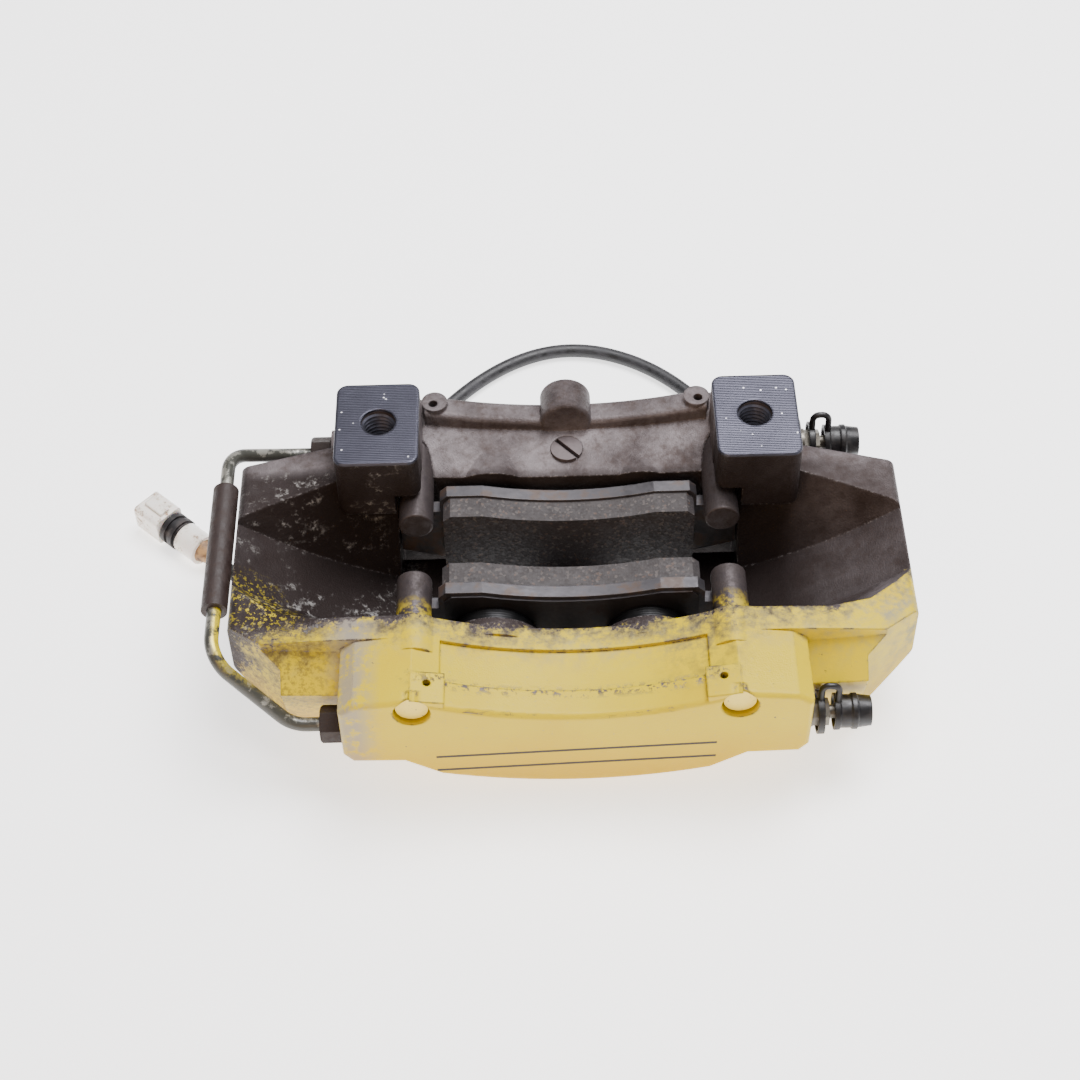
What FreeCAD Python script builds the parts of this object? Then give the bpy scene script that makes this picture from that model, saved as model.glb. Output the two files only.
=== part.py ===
import FreeCAD, Part
import os
from math import acos, cos, degrees, pi, radians, sin, tan
from FreeCAD import Vector

# Frame: origin midway between the two carrier bolt holes on the lug faces, +X along the caliper,
# +Y inboard (away from the wheel), +Z towards the wheel hub. All sizes in millimetres.

# Wheel and brake disc that the caliper is made for
HUB_Z = 112.0
DISC_MID_Y = -37.5
GROOVE_R = 178.0
GROOVE_HALF = 13.5

# Monobloc body
BOLT_SPACING = 130.0
BOLT_R = 6.0
BOLT_DEPTH = 20.0
LUG_X0 = 51.0
LUG_X1 = 80.0
LUG_Y0 = -19.5
LUG_Y1 = 18.3
LUG_BOTTOM_Z = -26.0
FACE_Y = -105.7
OUT_WALL_Y = -69.5
IN_WALL_Y = -5.5
REAR_Y = 24.0
END_X = 115.0
ARCH_R = 194.0
TOP_R = 141.0
FACE_HALF_X = 77.0
WINDOW_HALF_X = 60.0
POCKET_TOP_Z = -17.0
LEDGE_Y = -79.0
SKIRT_Y = 89.0
SKIRT_DRAFT = 0.33
FOOT_X = 44.0
TAB_Y0 = -48.0
TAB_Y1 = -12.0
TAB_TOP_Z = -60.5
LIP_Y = -95.0
VALLEY_Y = -78.5

# Pad abutment pins
PIN_X = 53.0
PIN_Z = -25.0
PIN_R = 6.0
PIN_FIT = 0.05
IN_PIN_TIP_Y = -26.5
IN_PIN_ROOT_Y = 10.0
OUT_PIN_TIP_Y = -50.7
OUT_PIN_STEP_Y = -78.0
PIN_SHANK_R = 4.0

# Pistons, seals and boots: (name, x, radius)
BORES = (("left", -27.0, 15.0), ("right", 26.0, 14.0))
BORE_Z = -45.5
PISTON_LENGTH = 23.0
PISTON_WALL = 4.0
BORE_FIT = 0.05
SEAL_FIT = 0.02
BOOT_FIT = 0.1
SEAL_WIDTH = 3.0
SEAL_DEPTH = 2.5
BOOT_RIM = 2.8
BOOT_DEPTH = 3.5
BOSS_RIM = 4.8
BOSS_FACE_Y = -66.5
SEAL_IN = 6.0
IN_BORE_END_Y = 18.2
OUT_BORE_END_Y = -93.0

# Brake pads: distances along Y at rest
IN_SHIM_Y = -8.8
OUT_SHIM_Y = -58.4
SHIM_T = 0.8
PLATE_T = 4.7
IN_FRICTION_Y = -23.0
OUT_FRICTION_Y = -43.7
PAD_TOP_Z = -23.5
PAD_NECK_X = 45.0
PAD_EAR_X = 59.5
PAD_EAR_Z = -31.5
PAD_OUTER_R = 174.0
FRICTION_X = 43.8

# Pad retaining pin and spring plate on the outer side of the window
KEEPER_Z = -65.8
KEEPER_R = 2.5
KEEPER_Y0 = -82.0
KEEPER_Y1 = 30.0
SPRING_Z = -63.0
SPRING_HALF_X = 14.0
SPRING_T = 0.7

# Ports along X in both halves
IN_PORT_Y = 14.0
IN_PORT_Z = -31.0
OUT_PORT_Y = -95.0
OUT_PORT_Z = -44.5
PORT_R = 5.0
PORT_DEPTH = 13.0
IN_PORT_X = 84.0
PASSAGE_R = 2.0
INLET_Z = -18.0
INLET_Y = 28.0
INLET_R = 5.0
INLET_DEPTH = 11.0
PLUG_Y = 6.0
PLUG_TOP_Z = -22.2
PLUG_R = 5.7

# Crossover pipe
PIPE_R = 2.375
PIPE_BEND_R = 11.0
PIPE_X = -118.6
PIPE_Z = -17.5
SLEEVE_R = 4.4
NUT_AF = 11.0
NUT_LENGTH = 7.5

# Wear sensor cable, lying on the floor plane under the arch
FLOOR_Z = -72.5
CABLE_R = 2.65
CABLE_Z = FLOOR_Z + CABLE_R
PLUG_TIP = (-157.0, 20.5, -66.0)
PLUG_DIR = (0.734, -0.679, 0.0)
SENSOR_X = 19.0
SENSOR_Z = -65.2
SENSOR_TAIL_X = 25.0


def box(x0, x1, y0, y1, z0, z1):
    return Part.makeBox(x1 - x0, y1 - y0, z1 - z0, Vector(x0, y0, z0))


def cylinder_y(x, z, radius, y0, y1):
    return Part.makeCylinder(radius, y1 - y0, Vector(x, y0, z), Vector(0, 1, 0))


def cylinder_x(y, z, radius, x0, x1):
    return Part.makeCylinder(radius, x1 - x0, Vector(x0, y, z), Vector(1, 0, 0))


def cylinder_z(x, y, radius, z0, z1):
    return Part.makeCylinder(radius, z1 - z0, Vector(x, y, z0), Vector(0, 0, 1))


def wire_xz(path, y):
    """Closed wire in a plane of constant y; an entry of two points is an arc through the first."""
    edges = []
    last = None
    for step in list(path) + [path[0]]:
        arc = isinstance(step[0], tuple)
        end = step[1] if arc else step
        point = Vector(end[0], y, end[1])
        if last is not None and arc:
            middle = Vector(step[0][0], y, step[0][1])
            edges.append(Part.Arc(last, middle, point).toShape())
        elif last is not None:
            edges.append(Part.makeLine(last, point))
        last = point
    return Part.Wire(edges)


def prism_xz(path, y0, y1):
    return Part.Face(wire_xz(path, y0)).extrude(Vector(0, y1 - y0, 0))


def hexagon_x(y, z, across, x0, x1):
    corners = []
    for i in range(7):
        turn = pi / 6 + i * pi / 3
        reach = across / 2 / cos(pi / 6)
        corners.append(Vector(x0, y + reach * cos(turn), z + reach * sin(turn)))
    return Part.Face(Part.makePolygon(corners)).extrude(Vector(x1 - x0, 0, 0))


def ring_y(x, z, inner, outer, y0, y1):
    return cylinder_y(x, z, outer, y0, y1).cut(cylinder_y(x, z, inner, y0 - 1, y1 + 1))


def mirror_x(shape):
    return shape.mirror(Vector(0, 0, 0), Vector(1, 0, 0))


def soften(shape, radius, chosen):
    edges = [edge for edge in shape.Edges if chosen(edge)]
    return shape.makeFillet(radius, edges)


def route_pieces(points, radii):
    """Straight runs joined by tangent arcs; a radius of None gives the largest gentle arc."""
    runs = [points[i + 1] - points[i] for i in range(len(points) - 1)]
    edges = []
    used = []
    start = points[0]
    for i in range(1, len(points) - 1):
        back = runs[i - 1]
        ahead = runs[i]
        half = back.getAngle(ahead) / 2
        shorter = min(back.Length, ahead.Length)
        radius = radii or 0.45 * shorter / tan(half)
        reach = radius * tan(half)
        first = points[i] - back.normalize() * reach
        last = points[i] + Vector(ahead).normalize() * reach
        inward = (first + last) * 0.5 - points[i]
        top = points[i] + inward.normalize() * (radius / cos(half) - radius)
        edges.append(Part.makeLine(start, first))
        edges.append(Part.Arc(first, top, last).toShape())
        start = last
        used.append(round(radius, 1))
    edges.append(Part.makeLine(start, points[-1]))
    return edges, used


def tube(points, radius, bend=None):
    edges, used = route_pieces([Vector(p) for p in points], bend)
    path = Part.Wire(edges)
    direction = Vector(points[1]) - Vector(points[0])
    ring = Part.Wire(Part.makeCircle(radius, Vector(points[0]), direction))
    solid = path.makePipeShell([ring], True, False)
    section = pi * radius * radius
    print("tube", [int(u * 10) / 10 for u in used], "length", round(path.Length, 1),
          "volume ratio", round(solid.Volume / (section * path.Length), 4))
    return Part.Solid(solid) if solid.ShapeType != "Solid" else solid


# ---------------------------------------------------------------- body

def half_bottom():
    """Underside of both halves from +X to -X: flat shoulders, then a belly that follows the disc."""
    return [(FACE_HALF_X, -48.0), (74.0, -52.0), (57.0, -52.5), (45.0, -60.5),
            ((0.0, -66.2), (-45.0, -60.5)), (-57.0, -52.5), (-74.0, -52.0), (-FACE_HALF_X, -48.0)]


def outboard_half():
    """Piston housing on the wheel side, with a concave top that follows the wheel hub."""
    top_side = HUB_Z - (TOP_R ** 2 - PIN_X ** 2) ** 0.5
    path = [(-FACE_HALF_X, -24.5), (-72.0, -20.8), (-PIN_X, top_side),
            ((0.0, HUB_Z - TOP_R), (PIN_X, top_side)), (72.0, -20.8), (FACE_HALF_X, -24.5)]
    path += half_bottom()
    block = prism_xz(path, FACE_Y, OUT_WALL_Y)
    block = soften(block, 1.8, lambda e: abs(e.BoundBox.YMin - FACE_Y) < 0.01 and e.BoundBox.YLength < 0.01)
    valley = cylinder_y(0, HUB_Z, TOP_R + 1.3, LIP_Y, VALLEY_Y)
    valley = valley.common(box(-44, 44, LIP_Y, VALLEY_Y, -60, 0))
    block = block.cut(valley)
    for side in (-1, 1):
        hump = cylinder_y(side * PIN_X, PIN_Z - 3, 9.6, -84.0, OUT_WALL_Y)
        block = block.fuse(hump)
        flat = box(-5.7, 5.7, FACE_Y + 0.4, -93.2, -6.0, 0.9)
        flat.rotate(Vector(0, 0, 0), Vector(0, 1, 0), -side * 9.0)
        flat.translate(Vector(side * 48.0, 0, -20.3))
        block = block.fuse(flat)
    for name, x, radius in BORES:
        block = block.fuse(cylinder_y(x, BORE_Z, radius + BOSS_RIM, OUT_WALL_Y - 4, BOSS_FACE_Y))
    block = block.fuse(cylinder_y(0, KEEPER_Z, 5.6, -84.0, OUT_WALL_Y))
    return block


def end_block(side):
    """One end of the bridge over the disc, with its outboard pocket and sloping skirt."""
    inner = WINDOW_HALF_X
    deep = HUB_Z - (ARCH_R ** 2 - inner ** 2) ** 0.5
    middle = 88.0
    path = [(inner, -19.5), (80.0, -20.0), (END_X, -22.0), (END_X, -43.5)]
    path.append(((middle, HUB_Z - (ARCH_R ** 2 - middle ** 2) ** 0.5), (inner, deep)))
    rear = 7.0 if side < 0 else 2.5
    block = prism_xz(path, -96.0, rear)
    block = soften(block, 3.0, lambda e: e.BoundBox.YLength > 50 and e.BoundBox.XMin > END_X - 1)
    foot = box(FOOT_X, inner + 1.0, -80.0, rear, FLOOR_Z, -45.0)
    block = block.fuse(foot)
    front = Part.makePolygon([Vector(p) for p in ((0, -SKIRT_Y, -38), (0, -SKIRT_Y + SKIRT_DRAFT * 45, -83),
                                                  (0, -120, -83), (0, -120, 0),
                                                  (0, -SKIRT_Y - SKIRT_DRAFT * 38, 0), (0, -SKIRT_Y, -38))])
    block = block.cut(Part.Face(front).extrude(Vector(130, 0, 0)))
    corner = Part.makePolygon([Vector(p) for p in ((97, -86.5, -90), (END_X + 1, -72.5, -90),
                                                   (END_X + 1, -99, -90), (97, -99, -90), (97, -86.5, -90))])
    block = block.cut(Part.Face(corner).extrude(Vector(0, 4, 90)))
    back = Part.makePolygon([Vector(p) for p in ((84, rear + 0.1, -90), (END_X + 1, rear - 7, -90),
                                                 (END_X + 1, rear + 0.1, -90), (84, rear + 0.1, -90))])
    block = block.cut(Part.Face(back).extrude(Vector(0, 0, 90)))
    pocket = Part.makePolygon([Vector(p) for p in ((60, LEDGE_Y, 0), (60, LEDGE_Y, -28), (60, -99, -46),
                                                   (60, -99, 0), (60, LEDGE_Y, 0))])
    pocket = Part.Face(pocket).extrude(Vector(60, 0, 5.5))
    block = block.cut(pocket)
    return block if side > 0 else mirror_x(block)


def inboard_half():
    """Piston housing on the suspension side, rising towards a strip along its rear edge."""
    bottom = half_bottom()
    bottom[0] = (82.0, -46.0)
    bottom[-1] = (-82.0, -46.0)
    front = wire_xz([(-82.0, -21.5), ((0.0, -24.4), (82.0, -21.5))] + bottom, IN_WALL_Y)
    rear = wire_xz([(-82.0, -5.0), ((0.0, -20.4), (82.0, -5.0))] + bottom, REAR_Y)
    block = Part.makeLoft([front, rear], True, True)
    strip_path = [(-50.0, -11.2), ((0.0, -17.6), (50.0, -11.2)), (50.0, -40.0), (-50.0, -40.0)]
    strip = prism_xz(strip_path, 14.5, REAR_Y)
    strip = soften(strip, 2.0, lambda e: e.BoundBox.ZMin > -30 and e.BoundBox.XLength > 80)
    block = block.fuse(strip)
    for name, x, radius in BORES:
        bulge = cylinder_y(x, BORE_Z, radius + 8.6, IN_WALL_Y, 8.0)
        block = block.fuse(bulge.common(box(-60, 60, IN_WALL_Y, 8.0, BORE_Z, 0)))
    inlet = cylinder_y(0, INLET_Z, 9.0, 14.0, INLET_Y)
    inlet = soften(inlet, 1.5, lambda e: e.BoundBox.YLength < 0.01)
    block = block.fuse(inlet)
    block = block.fuse(cylinder_y(0, KEEPER_Z, 5.6, IN_WALL_Y, 12.0))
    for side in (-1, 1):
        block = block.fuse(cylinder_z(side * 46.5, 19.5, 4.6, -30.0, -10.9))
        seat = cylinder_x(IN_PORT_Y, IN_PORT_Z, 8.5, 70.0, IN_PORT_X)
        block = block.fuse(seat if side > 0 else mirror_x(seat))
    return block


def lug(side):
    block = box(LUG_X0, LUG_X1, LUG_Y0, LUG_Y1, LUG_BOTTOM_Z, 0)
    block = soften(block, 4.0, lambda e: e.BoundBox.ZLength > 20)
    block = soften(block, 0.6, lambda e: e.BoundBox.ZMin > -0.01)
    return block if side > 0 else mirror_x(block)


def disc_groove():
    """Turned about the wheel axis: a flat floor over the disc edge and flared walls."""
    profile = ((60.0, OUT_WALL_Y), (157.0, OUT_WALL_Y), (166.0, -66.0), (172.0, -59.0),
               (GROOVE_R, DISC_MID_Y - GROOVE_HALF), (GROOVE_R, DISC_MID_Y + GROOVE_HALF),
               (157.0, -10.5), (150.0, IN_WALL_Y), (60.0, IN_WALL_Y))
    points = [Vector(0, y, HUB_Z - r) for r, y in profile]
    face = Part.Face(Part.makePolygon(points + points[:1]))
    return face.revolve(Vector(0, 0, HUB_Z), Vector(0, 1, 0), 360)


def bore_cut(x, radius, wall_y, end_y):
    """Bore, boot counterbore and seal groove, measured from the mouth inwards."""
    inward = 1 if end_y > wall_y else -1

    def span(start, stop):
        return sorted((wall_y + inward * start, wall_y + inward * stop))
    low, high = span(-1.0, abs(end_y - wall_y))
    cut = cylinder_y(x, BORE_Z, radius + BORE_FIT, low, high)
    low, high = span(-1.0, BOOT_DEPTH)
    cut = cut.fuse(cylinder_y(x, BORE_Z, radius + BOOT_RIM, low, high))
    low, high = span(SEAL_IN, SEAL_IN + SEAL_WIDTH + 0.2)
    return cut.fuse(cylinder_y(x, BORE_Z, radius + SEAL_DEPTH + 0.05, low, high))


def passages():
    """Fluid drillings: one cross drilling in each half, the ports and the inlet."""
    cuts = [cylinder_x(IN_PORT_Y, IN_PORT_Z, PASSAGE_R, -IN_PORT_X, IN_PORT_X)]
    cuts.append(cylinder_x(OUT_PORT_Y, OUT_PORT_Z, 2.6, -FACE_HALF_X, FACE_HALF_X))
    for side in (-1, 1):
        inner = cylinder_x(IN_PORT_Y, IN_PORT_Z, PORT_R, IN_PORT_X - PORT_DEPTH, IN_PORT_X + 1)
        outer = cylinder_x(OUT_PORT_Y, OUT_PORT_Z, PORT_R, FACE_HALF_X - PORT_DEPTH, FACE_HALF_X + 1)
        cuts += [inner, outer] if side > 0 else [mirror_x(inner), mirror_x(outer)]
    cuts.append(cylinder_y(0, INLET_Z, INLET_R, INLET_Y - INLET_DEPTH, INLET_Y + 1))
    cuts.append(cylinder_z(0, INLET_Y - INLET_DEPTH + 0.5, PASSAGE_R, IN_PORT_Z, INLET_Z))
    cuts.append(cylinder_y(0, IN_PORT_Z, PASSAGE_R, IN_PORT_Y, INLET_Y - INLET_DEPTH + 0.5))
    cuts.append(cylinder_z(0, PLUG_Y, PLUG_R, PLUG_TOP_Z - 8.0, -15.0))
    cuts.append(cylinder_z(0, PLUG_Y, PASSAGE_R, IN_PORT_Z, PLUG_TOP_Z))
    cuts.append(cylinder_y(0, IN_PORT_Z, PASSAGE_R, PLUG_Y, IN_PORT_Y))
    return cuts


def caliper_body():
    body = outboard_half()
    body = body.fuse([end_block(-1), end_block(1), inboard_half()])
    body = body.cut(disc_groove())
    body = body.fuse([lug(-1), lug(1)])
    for side in (-1, 1):
        x0, x1 = sorted((side * (LUG_X0 + 4.0), side * 90.0))
        body = body.cut(box(x0, x1, LUG_Y1, 40, -17.0, 5))
        x0, x1 = sorted((side * LUG_X1, side * 90.0))
        body = body.cut(box(x0, x1, -2.0, 40, -20.0, 5))
    body = body.cut(box(-WINDOW_HALF_X, WINDOW_HALF_X, OUT_WALL_Y, IN_WALL_Y, -90, POCKET_TOP_Z))
    for side in (-1, 1):
        x0, x1 = sorted((side * FOOT_X, side * (WINDOW_HALF_X + 2.0)))
        body = body.fuse(box(x0, x1, TAB_Y0, TAB_Y1, FLOOR_Z, TAB_TOP_Z))
    boss = [cylinder_y(x, BORE_Z, radius + BOSS_RIM, OUT_WALL_Y - 1, BOSS_FACE_Y) for name, x, radius in BORES]
    body = body.fuse(boss)
    cuts = passages()
    for name, x, radius in BORES:
        cuts.append(bore_cut(x, radius, IN_WALL_Y, IN_BORE_END_Y))
        cuts.append(bore_cut(x, radius, BOSS_FACE_Y, OUT_BORE_END_Y))
    for side in (-1, 1):
        cuts.append(cylinder_z(side * BOLT_SPACING / 2, 0, BOLT_R, -BOLT_DEPTH, 1))
        cuts.append(cylinder_y(side * PIN_X, PIN_Z, PIN_R, -30.0, IN_PIN_ROOT_Y))
        cuts.append(cylinder_y(side * PIN_X, PIN_Z, PIN_R, OUT_PIN_STEP_Y, -60.0))
        cuts.append(cylinder_y(side * PIN_X, PIN_Z, PIN_SHANK_R + PIN_FIT, -101.0, -60.0))
        cuts.append(cylinder_y(side * PIN_X, PIN_Z, 6.2, FACE_Y - 1, -101.0))
        cuts.append(cylinder_z(side * 48.0, -97.5, 1.3, -25.0, -10))
        cuts.append(cylinder_z(side * 47.0, 18.5, 1.6, -22.0, -5))
    cuts.append(cylinder_y(0, KEEPER_Z, KEEPER_R + PIN_FIT, -90, 30))
    for cut in cuts:
        body = body.cut(cut)
    return body.removeSplitter()


# ---------------------------------------------------------------- pads

def pad_outline(half_x, top_z, ears):
    """Pad seen along Y: dished inner edge, square neck, ears under the pins, round outer edge."""
    reach = PAD_EAR_X if ears else half_x
    low = HUB_Z - (PAD_OUTER_R ** 2 - reach ** 2) ** 0.5
    path = [(-half_x, top_z - 2.5), (-half_x + 2.5, top_z), (-30.0, top_z),
            ((0.0, top_z - 3.5), (30.0, top_z)), (half_x - 2.5, top_z), (half_x, top_z - 2.5)]
    if ears:
        path += [(half_x, PAD_EAR_Z), (reach, PAD_EAR_Z)]
    path.append((reach, low))
    path.append(((0.0, HUB_Z - PAD_OUTER_R), (-reach, low)))
    if ears:
        path += [(-reach, PAD_EAR_Z), (-half_x, PAD_EAR_Z)]
    return path


def pad_pieces(shim_y, friction_y):
    """Damping shim, steel backing plate and friction block of one pad."""
    towards = 1 if friction_y > shim_y else -1
    levels = [shim_y, shim_y + towards * SHIM_T, shim_y + towards * (SHIM_T + PLATE_T), friction_y]
    shim = prism_xz(pad_outline(PAD_NECK_X - 2, PAD_TOP_Z - 1.5, False), *sorted(levels[0:2]))
    plate = prism_xz(pad_outline(PAD_NECK_X, PAD_TOP_Z, True), *sorted(levels[1:3]))
    friction = prism_xz(pad_outline(FRICTION_X, PAD_TOP_Z - 1.0, False), *sorted(levels[2:4]))
    return shim, plate, friction


# ---------------------------------------------------------------- hydraulics

def piston(x, radius, front_y, towards):
    """Hollow cup whose open rim presses on the pad; towards is the way from pad to bore."""
    y0, y1 = sorted((front_y, front_y + towards * PISTON_LENGTH))
    cup = cylinder_y(x, BORE_Z, radius, y0, y1)
    cup = soften(cup, 0.8, lambda e: e.BoundBox.YLength < 0.01)
    h0, h1 = sorted((front_y - towards, front_y + towards * (PISTON_LENGTH - 6.0)))
    return cup.cut(cylinder_y(x, BORE_Z, radius - PISTON_WALL, h0, h1))


def seal(x, radius, wall_y, towards):
    start = SEAL_IN + 0.1
    y0, y1 = sorted((wall_y + towards * start, wall_y + towards * (start + SEAL_WIDTH)))
    return ring_y(x, BORE_Z, radius + SEAL_FIT, radius + SEAL_DEPTH, y0, y1)


def boot(x, radius, wall_y, towards):
    """Ribbed rubber ring filling the counterbore at the mouth of the bore."""
    y0, y1 = sorted((wall_y, wall_y + towards * BOOT_DEPTH))
    ring = ring_y(x, BORE_Z, radius + BOOT_FIT, radius + BOOT_RIM, y0, y1)
    g0, g1 = sorted((wall_y - towards, wall_y + towards * 1.4))
    return ring.cut(ring_y(x, BORE_Z, radius + 1.2, radius + 2.3, g0, g1))


def outboard_pin(side):
    x = side * PIN_X
    head = cylinder_y(x, PIN_Z, PIN_R - PIN_FIT, OUT_PIN_STEP_Y, OUT_PIN_TIP_Y)
    head = soften(head, 0.7, lambda e: abs(e.BoundBox.YMin - OUT_PIN_TIP_Y) < 0.01 and e.BoundBox.YLength < 0.01)
    return head.fuse(cylinder_y(x, PIN_Z, PIN_SHANK_R, -101.0, OUT_PIN_STEP_Y))


def inboard_pin(side):
    pin = cylinder_y(side * PIN_X, PIN_Z, PIN_R - PIN_FIT, IN_PIN_TIP_Y, IN_PIN_ROOT_Y)
    return soften(pin, 0.7, lambda e: abs(e.BoundBox.YMin - IN_PIN_TIP_Y) < 0.01 and e.BoundBox.YLength < 0.01)


def passage_plug():
    plug = cylinder_z(0, PLUG_Y, PLUG_R - 0.05, PLUG_TOP_Z - 8.0, PLUG_TOP_Z)
    plug = plug.cut(cylinder_z(0, PLUG_Y, PASSAGE_R, PLUG_TOP_Z - 9, PLUG_TOP_Z - 5))
    slot = box(-7, 7, -0.75, 0.75, -1.8, 1)
    slot.rotate(Vector(0, 0, 0), Vector(0, 0, 1), -48)
    slot.translate(Vector(0, PLUG_Y, PLUG_TOP_Z))
    return plug.cut(slot)


def pipe_points():
    return [(-IN_PORT_X + 5.0, IN_PORT_Y, IN_PORT_Z), (-99.0, IN_PORT_Y, IN_PORT_Z), (PIPE_X, 2.0, PIPE_Z),
            (PIPE_X, -87.0, PIPE_Z), (-94.0, OUT_PORT_Y, OUT_PORT_Z), (-FACE_HALF_X + 5.0, OUT_PORT_Y, OUT_PORT_Z)]


def pipe_nut(y, z, seat_x):
    """Tube nut: hexagon outside the port, plain shank inside it, clear bore for the pipe."""
    nut = hexagon_x(y, z, NUT_AF, -seat_x - NUT_LENGTH, -seat_x - 0.4)
    round_off = Part.makeCone(NUT_AF / 2 + 0.2, NUT_AF / 2 + 3.0, 3.0, Vector(-seat_x - NUT_LENGTH, y, z), Vector(1, 0, 0))
    tail = cylinder_x(y, z, NUT_AF, -seat_x - NUT_LENGTH + 3.0, -seat_x)
    nut = nut.common(round_off.fuse(tail))
    nut = nut.fuse(cylinder_x(y, z, PORT_R - 0.1, -seat_x - 0.5, -seat_x + PORT_DEPTH - 5.0))
    return nut.cut(cylinder_x(y, z, PIPE_R + 0.1, -seat_x - 20, -seat_x + 20))


def bleed_screw(y, z, seat_x):
    """Hollow screw: threaded shank, hexagon and a hose nipple with a bulb."""
    screw = cylinder_x(y, z, PORT_R - 0.1, seat_x - PORT_DEPTH + 4.0, seat_x + 1.5)
    screw = screw.fuse(hexagon_x(y, z, 8.0, seat_x + 1.2, seat_x + 7.0))
    screw = screw.fuse(cylinder_x(y, z, 2.3, seat_x + 6.5, seat_x + 18.0))
    bulb = Part.makeCone(2.8, 2.3, 3.0, Vector(seat_x + 13.5, y, z), Vector(1, 0, 0))
    screw = screw.fuse(bulb)
    return screw.cut(cylinder_x(y, z, 1.0, seat_x - 6.0, seat_x + 20.0))


def bleed_cap(y, z, seat_x):
    """Rubber dust cap over the nipple, with a strap arching back to a ring round the hexagon."""
    x0 = seat_x + 8.6
    profile = ((x0, 5.2), (x0, 6.2), (x0 + 1.8, 6.2), (x0 + 2.2, 5.6), (x0 + 5.6, 5.6), (x0 + 6.0, 6.1),
               (x0 + 7.6, 6.1), (x0 + 8.0, 5.6), (x0 + 12.4, 5.0), (x0 + 12.4, 0.0), (x0 + 10.4, 0.0),
               (x0 + 10.4, 4.5), (x0 + 1.0, 4.5))
    points = [Vector(px, y, z + r) for px, r in profile]
    shell = Part.Face(Part.makePolygon(points + points[:1])).revolve(Vector(0, y, z), Vector(1, 0, 0), 360)
    ring = cylinder_x(y, z, 7.4, seat_x + 3.0, seat_x + 5.2)
    ring = ring.cut(cylinder_x(y, z, 6.5, seat_x, seat_x + 8.0))
    strap = tube([(seat_x + 4.1, y, z + 6.8), (seat_x + 4.1, y + 1.0, z + 13.0), (x0 + 1.2, y + 1.0, z + 13.0),
                  (x0 + 1.2, y, z + 5.4)], 1.1, 2.4)
    return shell.fuse([ring, strap])


# ---------------------------------------------------------------- pad keeper, sensor and cable

def pad_keeper():
    pin = cylinder_y(0, KEEPER_Z, KEEPER_R, KEEPER_Y0, KEEPER_Y1)
    return pin.cut(cylinder_z(0, KEEPER_Y1 - 3.0, 0.9, KEEPER_Z - 5, KEEPER_Z + 5))


def spring_plate():
    """Leaf spring across the window, between the outer pad edges and the retaining pin."""
    top = SPRING_Z + SPRING_T
    edge = SPRING_HALF_X
    path = [(-edge, top + 0.4), (-8.0, top), (8.0, top), (edge, top + 0.4),
            (edge, SPRING_Z + 0.4), (8.0, SPRING_Z), (-8.0, SPRING_Z), (-edge, SPRING_Z + 0.4)]
    return prism_xz(path, -63.0, -9.5)


def keeper_clip():
    """Wire clip through the cross hole of the retaining pin."""
    y = KEEPER_Y1 - 3.0
    return tube([(0, y, KEEPER_Z + 6.0), (0, y, KEEPER_Z - 5.0), (9.0, y, KEEPER_Z - 5.0), (9.0, y, KEEPER_Z + 2.0)],
                0.8, 2.4)


def sensor_head():
    """Plastic wear sensor clipped in the outer edge of the inboard backing plate."""
    y0 = IN_SHIM_Y - SHIM_T - PLATE_T
    head = box(SENSOR_X - 3.5, SENSOR_X + 3.5, y0 - 3.5, IN_SHIM_Y - 0.3, SENSOR_Z - 2.4, SENSOR_Z + 2.6)
    head = soften(head, 0.6, lambda e: e.BoundBox.XLength > 6)
    return head.fuse(cylinder_x(y0 + 2.0, SENSOR_Z, 2.2, SENSOR_X + 3.0, SENSOR_TAIL_X))


def cable_points():
    start = Vector(PLUG_TIP) + Vector(PLUG_DIR) * 36.7
    y_end = IN_SHIM_Y - SHIM_T - PLATE_T + 2.0
    return [tuple(start), (-117.0, -16.5, CABLE_Z), (-97.0, -17.2, CABLE_Z), (-81.5, -4.6, CABLE_Z),
            (-77.0, 25.0, CABLE_Z), (-58.0, 58.0, CABLE_Z), (-28.0, 93.0, CABLE_Z), (3.0, 105.5, CABLE_Z),
            (35.0, 94.0, CABLE_Z), (61.0, 64.0, CABLE_Z), (64.0, 40.0, CABLE_Z), (50.0, 19.0, CABLE_Z),
            (35.0, 1.0, CABLE_Z), (SENSOR_TAIL_X + 3.0, y_end, SENSOR_Z)]


def along_plug(shape):
    """Place a piece made along +X from the origin on the axis of the cable's plug."""
    shape.rotate(Vector(0, 0, 0), Vector(0, 0, 1), -degrees(acos(PLUG_DIR[0])))
    shape.translate(Vector(PLUG_TIP))
    return shape


def connector_body():
    shell = box(0, 12.5, -6.0, 6.0, -5.6, 5.6)
    shell = soften(shell, 1.6, lambda e: e.BoundBox.XLength > 10)
    shell = shell.cut(box(-1, 9.0, -4.2, 4.2, -3.8, 3.8))
    shell = shell.fuse(box(2.0, 11.0, -2.0, 2.0, 5.5, 6.6))
    shell = shell.fuse(cylinder_x(0, 0, 4.4, 12.0, 22.0))
    shell = shell.fuse(cylinder_x(0, 0, 5.8, 21.0, 31.0))
    return along_plug(shell)


def connector_seal():
    ring = cylinder_x(0, 0, 5.4, 13.0, 20.5)
    for x0 in (13.6, 17.4):
        ring = ring.fuse(cylinder_x(0, 0, 6.2, x0, x0 + 2.2))
    return along_plug(ring.cut(cylinder_x(0, 0, 4.45, 12.0, 22.0)))


def connector_grommet():
    return along_plug(Part.makeCone(4.6, 2.9, 5.0, Vector(31.0, 0, 0), Vector(1, 0, 0)))


# ---------------------------------------------------------------- write every piece

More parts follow.
